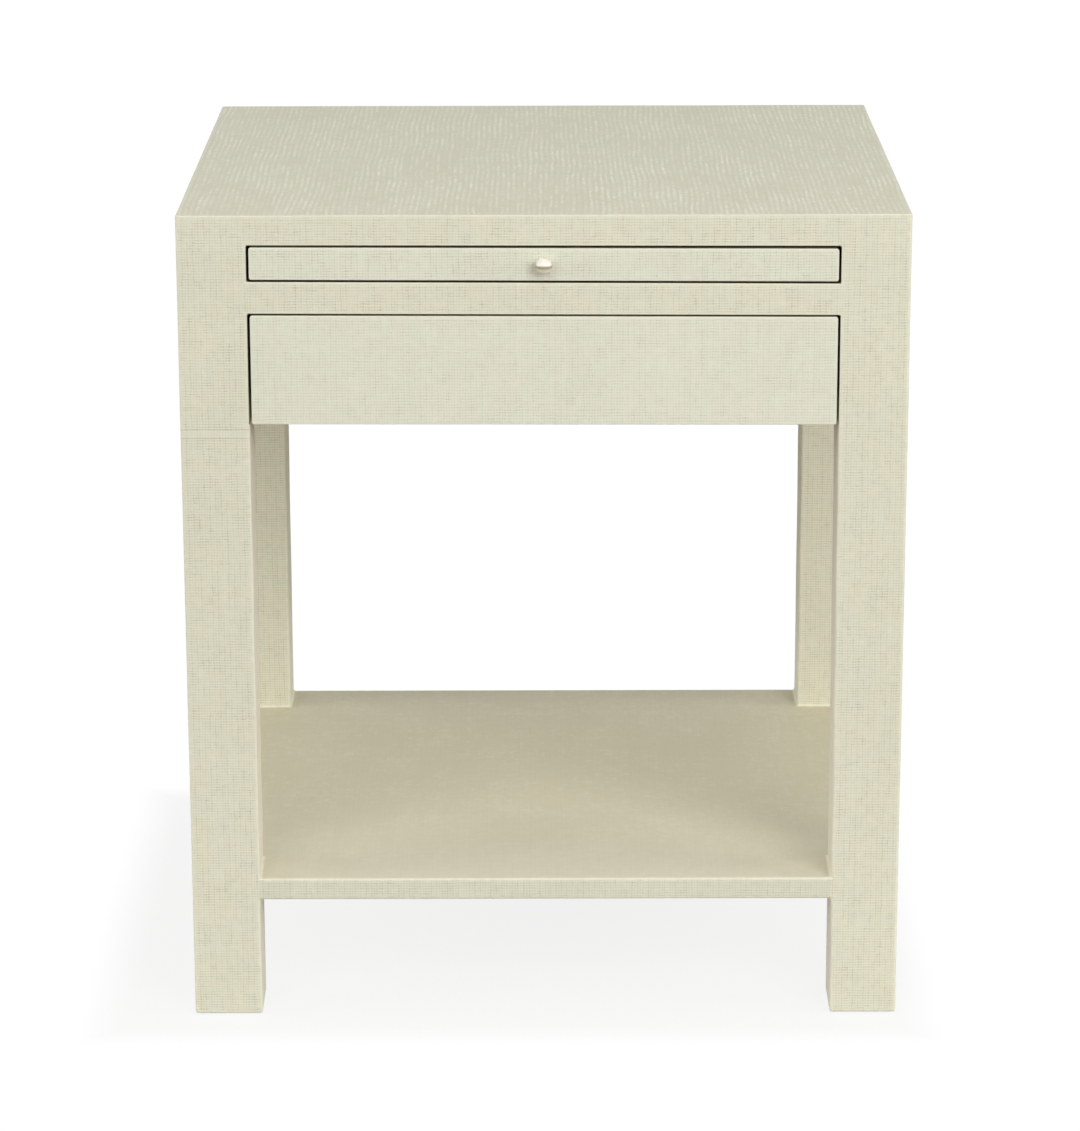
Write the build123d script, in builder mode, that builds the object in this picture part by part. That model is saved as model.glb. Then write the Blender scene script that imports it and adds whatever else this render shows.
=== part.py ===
from build123d import *
from math import sqrt
import os

os.makedirs("parts", exist_ok=True)

# A parsons table with a pull-out tray and a drawer under its top, and a low shelf between its legs.
# Millimetres. The front faces -Y, +Z is up and the floor is z = 0. The origin lies on the floor, under
# the middle of the table's overall box, knob included.

# Overall size
width = 570.0
depth = 507.0
height = 661.0
edge_round = 1.5

# Legs and top
leg_width = 54.5
leg_depth = 52.0
foot_round = 3.0
top_thickness = 24.0
top_round = 1.4

# Case under the top
apron_thickness = 20.0
tray_opening = 29.0
rail_height = 25.5
rail_depth = 32.0
deck_thickness = 9.0
deck_drop = 3.0
drawer_opening = 88.5
tenon_thickness = 9.0
tenon_length = 16.0
tenon_shoulder = 12.0
groove_depth = 6.0
panel_clearance = 0.2
joint_clearance = 0.05

# Low shelf
shelf_height = 117.4
shelf_thickness = 18.0

# Fronts, set in flush with the legs
front_thickness = 18.0
front_side_gap = 1.7
tray_gap = 1.5
drawer_gap = 1.3
front_corner_round = 2.0
front_arris = 0.9

# Tray
tray_board_thickness = 12.0
tray_tongue = 6.0
tray_travel = 300.0
tray_side_clearance = 0.5
tray_slip_clearance = 0.3
guide_width = 44.5
guide_groove_depth = 8.0
peg_radius = 4.0
peg_height = 6.5
peg_inset = 8.0
peg_from_rear = 40.0
stop_block_length = 22.0
stop_block_width = 18.0
stop_clearance = 0.3
bumper_radius = 6.0
bumper_thickness = 3.0

# Knob: a turned ball, drawn with flats around its profile
knob_radius = 6.5
knob_flats = 16
knob_reach = 15.5
knob_neck_radius = 3.4
knob_base_radius = 4.6
spigot_radius = 3.0
spigot_length = 9.0

# Drawer slides: thin steel channels, one inside the other, on two rows of balls each
slide_length = 400.0
slide_setback = 3.0
slide_space = 12.7
slide_sheet = 1.2
middle_sheet = 1.0
outer_height = 45.4
middle_height = 36.0
inner_height = 27.2
bend_radius = 1.5
outer_reach = 9.8
lip_height = 1.8
middle_standoff = 2.7
middle_reach = 10.4
inner_reach = 7.7
ball_clearance = 0.25
cage_sheet = 0.5
ball_count = 4
ball_pitch = 45.0
slot_length = 14.0
slot_width = 5.0
slot_margin = 45.0
slot_count = 3

# Drawer box
box_thickness = 12.0
box_depth = 410.0
box_height = 64.0
box_lift = 14.0
bottom_thickness = 6.0
bottom_lift = 8.0
bottom_groove = 5.0
tail_count = 3
pin_width = 5.0
dovetail_slope = 1 / 6
pull_radius = 8.0
pull_length = 180.0

# Loose tenons and glides
loose_tenon_thickness = 8.0
loose_tenon_width = 40.0
loose_tenon_depth = 15.0
loose_tenon_margin = 2.0
glide_radius = 12.0
glide_thickness = 3.0
glide_stand = 1.0

# Places worked out from the sizes above
front_y = (knob_reach - depth) / 2
back_y = front_y + depth
mid_y = (front_y + back_y) / 2
half_width = width / 2
opening_half = half_width - leg_width
front_leg_back_y = front_y + leg_depth
back_leg_front_y = back_y - leg_depth
bay_depth = back_leg_front_y - front_leg_back_y
apron_inner_x = half_width - apron_thickness
apron_inner_y = back_y - apron_thickness
top_foot_z = height - top_thickness
rail_top_z = top_foot_z - tray_opening
rail_foot_z = rail_top_z - rail_height
case_foot_z = rail_foot_z - drawer_opening
case_height = top_foot_z - case_foot_z
rail_back_y = front_y + rail_depth
deck_top_z = rail_top_z - deck_drop
deck_foot_z = deck_top_z - deck_thickness
shelf_foot_z = shelf_height - shelf_thickness
leg_x = half_width - leg_width / 2
leg_ys = (front_y + leg_depth / 2, back_y - leg_depth / 2)
front_back_y = front_y + front_thickness
tray_front_foot_z = rail_top_z + tray_gap
tray_front_top_z = top_foot_z - tray_gap
tray_mid_z = (tray_front_foot_z + tray_front_top_z) / 2
guide_inner_x = apron_inner_x - guide_width
tray_half = guide_inner_x + guide_groove_depth - tray_side_clearance
tray_top_z = tray_mid_z + tray_board_thickness / 2
tray_foot_z = tray_mid_z - tray_board_thickness / 2
tray_rear_y = apron_inner_y - bumper_thickness - stop_clearance
peg_x = guide_inner_x - peg_inset
peg_y = tray_rear_y - peg_from_rear
drawer_front_top_z = rail_foot_z - drawer_gap
front_half = opening_half - front_side_gap
box_half = opening_half - slide_space
box_inner_half = box_half - box_thickness
box_foot_z = case_foot_z + box_lift
box_top_z = box_foot_z + box_height
slide_centre_z = box_foot_z + box_height / 2
box_rear_y = front_back_y + box_depth
bottom_z = box_foot_z + bottom_lift
slide_front_y = front_back_y + slide_setback


def save(piece, name):
    piece.part.label = name
    export_step(piece.part, f"parts/{name}.step")


def save_pair(right_piece, name):
    save(right_piece, f"{name}_right")
    with BuildPart() as left_piece:
        mirror(right_piece.part, about=Plane.YZ)
    save(left_piece, f"{name}_left")


def spaced(middle, span, count):
    step = span / (count - 1)
    return [middle - span / 2 + step * i for i in range(count)]


def facing(x, y, z, direction):
    return Plane(origin=(x, y, z), z_dir=direction).location


# A set of equal blocks, given by their middles
def blocks(middles, long, wide, tall, grow=0.0):
    with BuildPart() as pieces:
        with Locations(*middles):
            Box(long + 2 * grow, wide + 2 * grow, tall + 2 * grow)
    return pieces.part


# Loose tenons, half in the top and half in the frame. A leg's tenon stands between its mortises
def top_tenon_blocks(grow=0.0):
    leg_tenon_start = opening_half + tenon_length + loose_tenon_margin
    leg_tenon_end = half_width - (apron_thickness + tenon_thickness) / 2 - loose_tenon_margin
    leg_tenon_x = (leg_tenon_start + leg_tenon_end) / 2
    side_x = half_width - apron_thickness / 2
    leg_spots = [(side * leg_tenon_x, y, top_foot_z) for side in (-1, 1) for y in leg_ys]
    side_spots = [(side * side_x, y, top_foot_z) for side in (-1, 1) for y in spaced(mid_y, bay_depth / 2, 2)]
    back_spots = [(x, back_y - apron_thickness / 2, top_foot_z) for x in spaced(0, opening_half, 3)]
    thick = loose_tenon_thickness
    tall = 2 * loose_tenon_depth
    return [
        blocks(leg_spots, leg_tenon_end - leg_tenon_start, thick, tall, grow),
        blocks(side_spots, thick, loose_tenon_width, tall, grow),
        blocks(back_spots, loose_tenon_width, thick, tall, grow),
    ]


# Loose tenons that run along Y through the face that a leg and the shelf share
def shelf_tenon_blocks(grow=0.0):
    middle_z = shelf_height - shelf_thickness / 2
    spots = [(side * leg_x, y, middle_z) for side in (-1, 1) for y in (front_leg_back_y, back_leg_front_y)]
    return blocks(spots, leg_width - 4 * loose_tenon_thickness, 2 * loose_tenon_depth, loose_tenon_thickness, grow)


# Tenons on the ends of the side aprons, at the middle of their thickness
def side_tenons(grow=0.0):
    foot = case_foot_z + tenon_shoulder - grow
    tall = case_height - 2 * tenon_shoulder + 2 * grow
    with BuildPart() as tenons:
        with BuildSketch(Plane.XY.offset(foot)):
            with Locations((half_width - apron_thickness / 2, mid_y)):
                Rectangle(tenon_thickness + 2 * grow, bay_depth + 2 * (tenon_length + grow))
        extrude(amount=tall)
    return tenons.part


# Tenons of the back apron, and of the middle rail
def cross_tenons(middle_y, foot, tall, grow=0.0):
    with BuildPart() as tenons:
        with BuildSketch(Plane.XY.offset(foot - grow)):
            with Locations((0, middle_y)):
                Rectangle(2 * (opening_half + tenon_length + grow), tenon_thickness + 2 * grow)
        extrude(amount=tall + 2 * grow)
    return tenons.part


top_mortises = top_tenon_blocks(joint_clearance)
shelf_mortises = shelf_tenon_blocks(joint_clearance)
back_tenon_foot = case_foot_z + tenon_shoulder
back_tenon_height = case_height - 2 * tenon_shoulder
back_tenon_y = back_y - apron_thickness / 2
rail_tenon_y = front_y + rail_depth / 2
rail_shoulder = rail_height / 5
rail_tenon_foot = rail_foot_z + rail_shoulder
rail_tenon_height = rail_height - 2 * rail_shoulder


def make_top_panel():
    with BuildPart() as top_panel:
        with BuildSketch(Plane.XY.offset(top_foot_z)) as outline:
            with Locations((0, mid_y)):
                Rectangle(width, depth)
            fillet(outline.vertices(), edge_round)
        extrude(amount=top_thickness)
        fillet(top_panel.faces().sort_by(Axis.Z)[-1].edges(), top_round)
        add(top_mortises, mode=Mode.SUBTRACT)
    save(top_panel, "top_panel")


# A square leg. Only its outer upright edge is rounded, because boards meet the others flush
def make_leg(name, end_y, inner_y, cross_mortise):
    with BuildPart() as leg:
        with BuildSketch(Plane.XY.offset(glide_stand)):
            with BuildLine():
                Polyline(
                    (opening_half, inner_y),
                    (opening_half, end_y),
                    (half_width, end_y),
                    (half_width, inner_y),
                    close=True,
                )
            make_face()
        extrude(amount=top_foot_z - glide_stand)
        outer_edge = leg.edges().filter_by(Axis.Z).sort_by_distance((half_width, end_y, height / 2))[0]
        fillet(outer_edge, edge_round)
        fillet(leg.faces().sort_by(Axis.Z)[0].edges(), foot_round)
        add(side_tenons(joint_clearance), mode=Mode.SUBTRACT)
        add(cross_mortise, mode=Mode.SUBTRACT)
        add(top_mortises, mode=Mode.SUBTRACT)
        add(shelf_mortises, mode=Mode.SUBTRACT)
        with BuildSketch(Plane.XY.offset(glide_stand)):
            with Locations((leg_x, (end_y + inner_y) / 2)):
                Circle(glide_radius + joint_clearance)
        extrude(amount=glide_thickness - glide_stand, mode=Mode.SUBTRACT)
    save_pair(leg, name)


def make_legs():
    rail_mortise = cross_tenons(rail_tenon_y, rail_tenon_foot, rail_tenon_height, joint_clearance)
    back_mortise = cross_tenons(back_tenon_y, back_tenon_foot, back_tenon_height, joint_clearance)
    make_leg("front_leg", front_y, front_leg_back_y, rail_mortise)
    make_leg("back_leg", back_y, back_leg_front_y, back_mortise)


def make_side_aprons():
    with BuildPart() as side_apron:
        with BuildSketch(Plane.XY.offset(case_foot_z)):
            with Locations((half_width - apron_thickness / 2, mid_y)):
                Rectangle(apron_thickness, bay_depth)
        extrude(amount=case_height)
        foot_edges = side_apron.edges().group_by(Axis.Z)[0].filter_by(Axis.Y)
        fillet(foot_edges, edge_round)
        add(side_tenons())
        add(top_mortises, mode=Mode.SUBTRACT)
    save_pair(side_apron, "side_apron")


def make_back_apron():
    with BuildPart() as back_apron:
        with BuildSketch(Plane.XY.offset(case_foot_z)):
            with Locations((0, back_y - apron_thickness / 2)):
                Rectangle(2 * opening_half, apron_thickness)
        extrude(amount=case_height)
        foot_edges = back_apron.edges().group_by(Axis.Z)[0].filter_by(Axis.X)
        fillet(foot_edges, edge_round)
        add(cross_tenons(back_tenon_y, back_tenon_foot, back_tenon_height))
        with BuildSketch(Plane.XY.offset(deck_foot_z - joint_clearance)):
            with Locations((0, apron_inner_y)):
                Rectangle(2 * opening_half, 2 * groove_depth)
        extrude(amount=deck_thickness + 2 * joint_clearance, mode=Mode.SUBTRACT)
        add(top_mortises, mode=Mode.SUBTRACT)
    save(back_apron, "back_apron")


def make_mid_rail():
    with BuildPart() as mid_rail:
        with BuildSketch(Plane.XY.offset(rail_foot_z)):
            with Locations((0, front_y + rail_depth / 2)):
                Rectangle(2 * opening_half, rail_depth)
        extrude(amount=rail_height)
        add(cross_tenons(rail_tenon_y, rail_tenon_foot, rail_tenon_height))
        with BuildSketch(Plane.XY.offset(deck_foot_z - joint_clearance)):
            with Locations((0, rail_back_y)):
                Rectangle(2 * opening_half, 2 * groove_depth)
        extrude(amount=deck_thickness + 2 * joint_clearance, mode=Mode.SUBTRACT)
    save(mid_rail, "mid_rail")


# Thin deck over the drawer, notched round the four legs and let into the rail and the back apron
def make_deck():
    tongue_front_y = rail_back_y - groove_depth + panel_clearance
    tongue_back_y = apron_inner_y + groove_depth - panel_clearance
    with BuildPart() as deck_panel:
        with BuildSketch(Plane.XY.offset(deck_foot_z)):
            with Locations((0, mid_y)):
                Rectangle(2 * (apron_inner_x - panel_clearance), bay_depth - 2 * panel_clearance)
            with Locations((0, (tongue_front_y + tongue_back_y) / 2)):
                Rectangle(2 * (opening_half - panel_clearance), tongue_back_y - tongue_front_y)
        extrude(amount=deck_thickness)
    save(deck_panel, "deck_panel")


# Shelf in one board, notched at its corners so that its edges lie flush with the legs
def make_lower_shelf():
    notch_x = leg_width + joint_clearance
    notch_y = leg_depth + joint_clearance
    with BuildPart() as lower_shelf:
        with BuildSketch(Plane.XY.offset(shelf_foot_z)):
            with Locations((0, mid_y)):
                Rectangle(width, depth)
                with GridLocations(width, depth, 2, 2):
                    Rectangle(2 * notch_x, 2 * notch_y, mode=Mode.SUBTRACT)
        extrude(amount=shelf_thickness)
        long_edges = lower_shelf.edges().filter_by(Axis.X).group_by(Axis.Y)
        side_edges = lower_shelf.edges().filter_by(Axis.Y).group_by(Axis.X)
        fillet(long_edges[0] + long_edges[-1] + side_edges[0] + side_edges[-1], edge_round)
        add(shelf_mortises, mode=Mode.SUBTRACT)
    save(lower_shelf, "lower_shelf")


# Hardwood guide with the groove that the tray board's edge runs in
def make_tray_guides():
    groove_foot_z = tray_foot_z - tray_slip_clearance
    groove_top_z = tray_top_z + tray_slip_clearance
    groove_x = guide_inner_x + guide_groove_depth
    with BuildPart() as tray_guide:
        with BuildSketch(Plane.XZ.offset(-front_leg_back_y)):
            with BuildLine():
                Polyline(
                    (apron_inner_x, deck_top_z),
                    (apron_inner_x, top_foot_z),
                    (guide_inner_x, top_foot_z),
                    (guide_inner_x, groove_top_z),
                    (groove_x, groove_top_z),
                    (groove_x, groove_foot_z),
                    (guide_inner_x, groove_foot_z),
                    (guide_inner_x, deck_top_z),
                    close=True,
                )
            make_face()
        extrude(amount=-bay_depth)
    save_pair(tray_guide, "tray_guide")


# Block that fills out the apron to the leg's inner face, for the drawer slide, and carries the deck
def make_slide_packers():
    packer_foot_z = slide_centre_z - outer_height / 2 - edge_round
    with BuildPart() as slide_packer:
        with BuildSketch(Plane.XY.offset(packer_foot_z)):
            with Locations(((apron_inner_x + opening_half) / 2, mid_y)):
                Rectangle(apron_inner_x - opening_half, bay_depth)
        extrude(amount=deck_foot_z - packer_foot_z)
    save_pair(slide_packer, "slide_packer")


# Plane across a right-hand slide at a given y: its x runs from the leg's face towards the drawer, and
# its y is the height above the slide's middle
def slide_section(y):
    return Plane(origin=(opening_half, y, slide_centre_z), x_dir=(-1, 0, 0), z_dir=(0, 1, 0))


# Channel bent from sheet steel: its web stands at web_x and its flanges reach to flange_x, with lips
# turned back towards the middle where lip is above zero
def bent_channel(web_x, flange_x, over_height, sheet, lip=0.0):
    middle = over_height / 2 - sheet / 2
    corners = [(flange_x, middle), (web_x, middle), (web_x, -middle), (flange_x, -middle)]
    if lip > 0:
        corners = [(flange_x, middle - lip), *corners, (flange_x, lip - middle)]
    with BuildSketch() as section:
        with BuildLine():
            FilletPolyline(*corners, radius=bend_radius)
        trace(line_width=sheet)
    return section.sketch


# Row of slots for the screws that hold a slide's member, through its web
def web_slots(web_x):
    slide_mid_y = slide_front_y + slide_length / 2
    slot_ys = spaced(slide_mid_y, slide_length - 2 * slot_margin, slot_count)
    web_plane = Plane(origin=(web_x, 0, slide_centre_z), x_dir=(0, 1, 0), z_dir=(1, 0, 0))
    with BuildPart() as slots:
        with BuildSketch(web_plane) as slot_outlines:
            with Locations(*[(y, 0) for y in slot_ys]):
                Rectangle(slot_length, slot_width)
            chamfer(slot_outlines.vertices(), slot_width / 3)
        extrude(amount=2 * slide_sheet, both=True)
    return slots.part


outer_ball_radius = (outer_height / 2 - slide_sheet - middle_height / 2) / 2 - ball_clearance
outer_ball_v = (outer_height / 2 - slide_sheet + middle_height / 2) / 2
outer_ball_u = outer_reach - slide_sheet - ball_clearance - outer_ball_radius
inner_ball_radius = (middle_height / 2 - middle_sheet - inner_height / 2) / 2 - ball_clearance
inner_ball_v = (middle_height / 2 - middle_sheet + inner_height / 2) / 2
inner_web_x = slide_space - slide_sheet / 2
inner_flange_x = slide_space - inner_reach
inner_ball_u = (inner_flange_x + middle_reach) / 2


# The three members of a slide: fixed to the case, floating between, and fixed to the drawer
def make_slide_members():
    with BuildPart() as outer_slide:
        with BuildSketch(slide_section(slide_front_y)):
            add(bent_channel(slide_sheet / 2, outer_reach - slide_sheet / 2, outer_height, slide_sheet, lip_height))
        extrude(amount=slide_length)
        add(web_slots(opening_half), mode=Mode.SUBTRACT)
    save_pair(outer_slide, "outer_slide")
    with BuildPart() as middle_slide:
        with BuildSketch(slide_section(slide_front_y)):
            add(bent_channel(middle_standoff + middle_sheet / 2, middle_reach, middle_height, middle_sheet))
        extrude(amount=slide_length)
    save_pair(middle_slide, "middle_slide")
    with BuildPart() as inner_slide:
        with BuildSketch(slide_section(slide_front_y)):
            add(bent_channel(inner_web_x, inner_flange_x, inner_height, slide_sheet))
        extrude(amount=slide_length)
        add(web_slots(box_half), mode=Mode.SUBTRACT)
    save_pair(inner_slide, "inner_slide")


# Steel ball, drawn with flats so that the many balls stay light
def flat_sided_ball(radius):
    with BuildPart() as ball:
        Box(2 * radius, 2 * radius, 2 * radius)
        chamfer(ball.edges(), radius * (2 - sqrt(2)))
    return ball.part


# Ball cage: a thin channel whose two flanges hold a row of balls each, in eight-sided windows
def make_ball_cage(name, web_x, flange_x, ball_u, ball_v, ball_radius):
    slide_mid_y = slide_front_y + slide_length / 2
    ball_ys = spaced(slide_mid_y, ball_pitch * (ball_count - 1), ball_count)
    cage_length = ball_pitch * ball_count
    ball_x = opening_half - ball_u
    with BuildPart() as cage:
        with BuildSketch(slide_section(slide_mid_y - cage_length / 2)):
            add(bent_channel(web_x, flange_x, 2 * ball_v + cage_sheet, cage_sheet))
        extrude(amount=cage_length)
        with BuildSketch(Plane.XY.offset(slide_centre_z)):
            with Locations(*[(ball_x, y) for y in ball_ys]):
                RegularPolygon(ball_radius + joint_clearance, 8, major_radius=False, rotation=22.5)
        extrude(amount=ball_v + cage_sheet, both=True, mode=Mode.SUBTRACT)
        with Locations(*[(ball_x, y, slide_centre_z + row * ball_v) for y in ball_ys for row in (-1, 1)]):
            add(flat_sided_ball(ball_radius))
    save_pair(cage, name)


def make_ball_cages():
    outer_cage_web = (slide_sheet + middle_standoff) / 2
    outer_cage_flange = outer_ball_u + outer_ball_radius + cage_sheet
    make_ball_cage("outer_cage", outer_cage_web, outer_cage_flange, outer_ball_u, outer_ball_v, outer_ball_radius)
    inner_cage_web = (middle_standoff + middle_sheet + inner_flange_x) / 2
    inner_cage_flange = inner_ball_u + inner_ball_radius + cage_sheet
    make_ball_cage("inner_cage", inner_cage_web, inner_cage_flange, inner_ball_u, inner_ball_v, inner_ball_radius)


# Front of the tray or the drawer: a board with softened corners and edges
def front_board(foot_z, top_z):
    with BuildPart() as board:
        with BuildSketch(Plane.XZ.offset(-front_back_y)) as outline:
            with Locations((0, (foot_z + top_z) / 2)):
                Rectangle(2 * front_half, top_z - foot_z)
            fillet(outline.vertices(), front_corner_round)
        extrude(amount=front_thickness)
        chamfer(board.faces().sort_by(Axis.Y)[0].edges(), front_arris)
    return board.part


def make_tray():
    with BuildPart() as tray_front:
        add(front_board(tray_front_foot_z, tray_front_top_z))
        with BuildSketch(Plane.XY.offset(tray_foot_z - joint_clearance)):
            with Locations((0, front_back_y)):
                Rectangle(2 * (tray_half + joint_clearance), 2 * (tray_tongue + panel_clearance))
        extrude(amount=tray_board_thickness + 2 * joint_clearance, mode=Mode.SUBTRACT)
        with Locations(facing(0, front_y, tray_mid_z, (0, -1, 0))):
            Cylinder(spigot_radius + joint_clearance, 2 * (spigot_length + panel_clearance), mode=Mode.SUBTRACT)
    save(tray_front, "tray_front")
    board_front_y = front_back_y - tray_tongue
    with BuildPart() as tray_board:
        with BuildSketch(Plane.XY.offset(tray_foot_z)):
            with Locations((0, (board_front_y + tray_rear_y) / 2)):
                Rectangle(2 * tray_half, tray_rear_y - board_front_y)
        extrude(amount=tray_board_thickness)
        with BuildSketch(Plane.XY.offset(tray_top_z)):
            with Locations((-peg_x, peg_y), (peg_x, peg_y)):
                Circle(peg_radius + joint_clearance)
        extrude(amount=-tray_board_thickness / 2, mode=Mode.SUBTRACT)
    save(tray_board, "tray_board")
    with BuildPart() as tray_stop_pegs:
        peg_length = tray_board_thickness / 2 + peg_height
        with Locations(*[(side * peg_x, peg_y, tray_mid_z + peg_length / 2) for side in (-1, 1)]):
            Cylinder(peg_radius, peg_length)
    save(tray_stop_pegs, "tray_stop_pegs")


# Blocks glued under the top, which the pegs of the tray board meet when it is pulled right out
def make_tray_stops():
    block_back_y = peg_y - peg_radius - tray_travel - stop_clearance
    block_foot_z = tray_top_z + 2 * tray_slip_clearance
    with BuildPart() as tray_stop_blocks:
        with BuildSketch(Plane.XY.offset(block_foot_z)):
            with Locations(*[(side * (guide_inner_x - stop_block_width / 2), block_back_y) for side in (-1, 1)]):
                Rectangle(stop_block_width, stop_block_length, align=(Align.CENTER, Align.MAX))
        extrude(amount=top_foot_z - block_foot_z)
    save(tray_stop_blocks, "tray_stop_blocks")
    with BuildPart() as tray_bumpers:
        with Locations(*[facing(side * peg_x, apron_inner_y, tray_mid_z, (0, -1, 0)) for side in (-1, 1)]):
            Cylinder(bumper_radius, bumper_thickness, align=(Align.CENTER, Align.CENTER, Align.MIN))
    save(tray_bumpers, "tray_bumpers")


# Small round knob turned in one piece with its short neck and the spigot that is glued into the front
def make_knob():
    ball_y = front_y - knob_reach + knob_radius
    with BuildPart() as tray_knob:
        with BuildSketch(Plane.XY.offset(tray_mid_z)):
            with BuildLine():
                Polyline(
                    (0, ball_y),
                    (0, front_y + spigot_length),
                    (spigot_radius, front_y + spigot_length),
                    (spigot_radius, front_y),
                    (knob_base_radius, front_y),
                    (knob_neck_radius, ball_y),
                    close=True,
                )
            make_face()
            with Locations((0, ball_y)):
                RegularPolygon(knob_radius, knob_flats)
            with Locations((-knob_radius, ball_y)):
                Rectangle(2 * knob_radius, 4 * knob_radius, mode=Mode.SUBTRACT)
        revolve(axis=Axis((0, 0, tray_mid_z), (0, 1, 0)))
    save(tray_knob, "tray_knob")


# One dovetail pin seen from the side of the drawer, as a four-cornered outline in (y, z): narrow at the
# outer face of the board that carries it, wide at its inner face, and cut off at the box's edges
def pin_corners(index, outer_y, inner_y, grow):
    pitch = box_height / tail_count
    middle = box_foot_z + index * pitch
    narrow = pin_width / 2 + grow
    wide = narrow + box_thickness * dovetail_slope
    corners = [(outer_y, narrow), (inner_y, wide), (inner_y, -wide), (outer_y, -narrow)]
    return [(y, min(max(middle + z, box_foot_z), box_top_z)) for y, z in corners]


# All the pins of one corner of the box
def corner_pins(outer_y, inner_y, grow=0.0):
    with BuildSketch() as pins:
        for index in range(tail_count + 1):
            with BuildLine():
                Polyline(*pin_corners(index, outer_y, inner_y, grow), close=True)
            make_face()
    return pins.sketch


box_ends = (
    (front_back_y, front_back_y + box_thickness),
    (box_rear_y, box_rear_y - box_thickness),
)


# The board that fits the grooves of the drawer's bottom, or with room round it, the grooves themselves
def bottom_board(rim, room=0.0):
    with BuildPart() as board:
        with BuildSketch(Plane.XY.offset(bottom_z - room)):
            with Locations((0, front_back_y + box_depth / 2)):
                Rectangle(2 * (box_inner_half + rim), box_depth - 2 * box_thickness + 2 * rim)
        extrude(amount=bottom_thickness + 2 * room)
    return board.part


def make_drawer_sides():
    with BuildPart() as drawer_side:
        with BuildSketch(Plane.XY.offset(box_foot_z)):
            with Locations((box_half - box_thickness / 2, front_back_y + box_depth / 2)):
                Rectangle(box_thickness, box_depth)
        extrude(amount=box_height)
        with BuildSketch(Plane.YZ.offset(box_inner_half)):
            for outer_y, inner_y in box_ends:
                add(corner_pins(outer_y, inner_y, joint_clearance))
        extrude(amount=box_thickness, mode=Mode.SUBTRACT)
        add(bottom_board(bottom_groove, joint_clearance), mode=Mode.SUBTRACT)
    save_pair(drawer_side, "drawer_side")


# The box's front or back: a board between the sides, with the pins that reach out through them
def make_drawer_end(name, outer_y, inner_y):
    with BuildPart() as drawer_end:
        with BuildSketch(Plane.XY.offset(box_foot_z)):
            with Locations((0, (outer_y + inner_y) / 2)):
                Rectangle(2 * box_inner_half, box_thickness)
        extrude(amount=box_height)
        with BuildSketch(Plane.YZ):
            add(corner_pins(outer_y, inner_y))
        extrude(amount=box_half, both=True)
        add(bottom_board(bottom_groove, joint_clearance), mode=Mode.SUBTRACT)
    save(drawer_end, name)


def make_drawer():
    with BuildPart() as drawer_front:
        add(front_board(case_foot_z, drawer_front_top_z))
        with BuildSketch(Plane.YZ):
            with Locations((front_back_y, case_foot_z)):
                Circle(pull_radius)
        extrude(amount=pull_length / 2, both=True, mode=Mode.SUBTRACT)
    save(drawer_front, "drawer_front")
    make_drawer_sides()
    make_drawer_end("drawer_box_front", *box_ends[0])
    make_drawer_end("drawer_back", *box_ends[1])
    with BuildPart() as drawer_bottom:
        add(bottom_board(bottom_groove - panel_clearance))
    save(drawer_bottom, "drawer_bottom")


def make_loose_tenons():
    with BuildPart() as top_tenons:
        add(top_tenon_blocks())
    save(top_tenons, "top_tenons")
    with BuildPart() as shelf_tenons:
        add(shelf_tenon_blocks())
    save(shelf_tenons, "shelf_tenons")


# Nylon glides let into the feet
def make_foot_glides():
    with BuildPart() as foot_glides:
        with Locations(*[(side * leg_x, y) for side in (-1, 1) for y in leg_ys]):
            Cylinder(glide_radius, glide_thickness, align=(Align.CENTER, Align.CENTER, Align.MIN))
    save(foot_glides, "foot_glides")


make_top_panel()
make_legs()
make_side_aprons()
make_back_apron()
make_mid_rail()
make_deck()
make_lower_shelf()
make_tray_guides()
make_slide_packers()
make_slide_members()
make_ball_cages()
make_tray()
make_tray_stops()
make_knob()
make_drawer()
make_loose_tenons()
make_foot_glides()
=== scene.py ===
import math
import bpy
import numpy as np
from mathutils import Matrix, Vector


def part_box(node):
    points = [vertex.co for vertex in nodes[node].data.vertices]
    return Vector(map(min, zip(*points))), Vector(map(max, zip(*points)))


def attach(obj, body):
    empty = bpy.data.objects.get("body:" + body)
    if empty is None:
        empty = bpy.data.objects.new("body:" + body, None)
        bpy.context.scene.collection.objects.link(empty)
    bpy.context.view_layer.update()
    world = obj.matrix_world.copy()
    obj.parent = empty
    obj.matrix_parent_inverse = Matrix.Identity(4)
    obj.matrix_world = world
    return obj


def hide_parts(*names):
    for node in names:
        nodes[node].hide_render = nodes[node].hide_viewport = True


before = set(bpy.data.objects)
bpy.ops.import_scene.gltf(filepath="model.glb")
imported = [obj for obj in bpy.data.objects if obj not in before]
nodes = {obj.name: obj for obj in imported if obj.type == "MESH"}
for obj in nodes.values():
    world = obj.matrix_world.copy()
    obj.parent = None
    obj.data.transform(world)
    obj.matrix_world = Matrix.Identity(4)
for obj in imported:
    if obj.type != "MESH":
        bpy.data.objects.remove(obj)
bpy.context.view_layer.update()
mm = 0.001
boxOf = {name: np.array([list(corner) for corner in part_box(name)]) / mm for name in nodes}
topBox, legBox, railBox = boxOf["top_panel"], boxOf["front_leg_right"], boxOf["mid_rail"]
openingHalf, frontY = legBox[0, 0], legBox[0, 1]
caseFoot, topFoot = boxOf["side_apron_left"][0, 2], topBox[0, 2]
shelfFoot = boxOf["lower_shelf"][0, 2]
far = 1e3  # mm, beyond the whole table
print("frame loaded:", len(nodes), "nodes")


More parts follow.
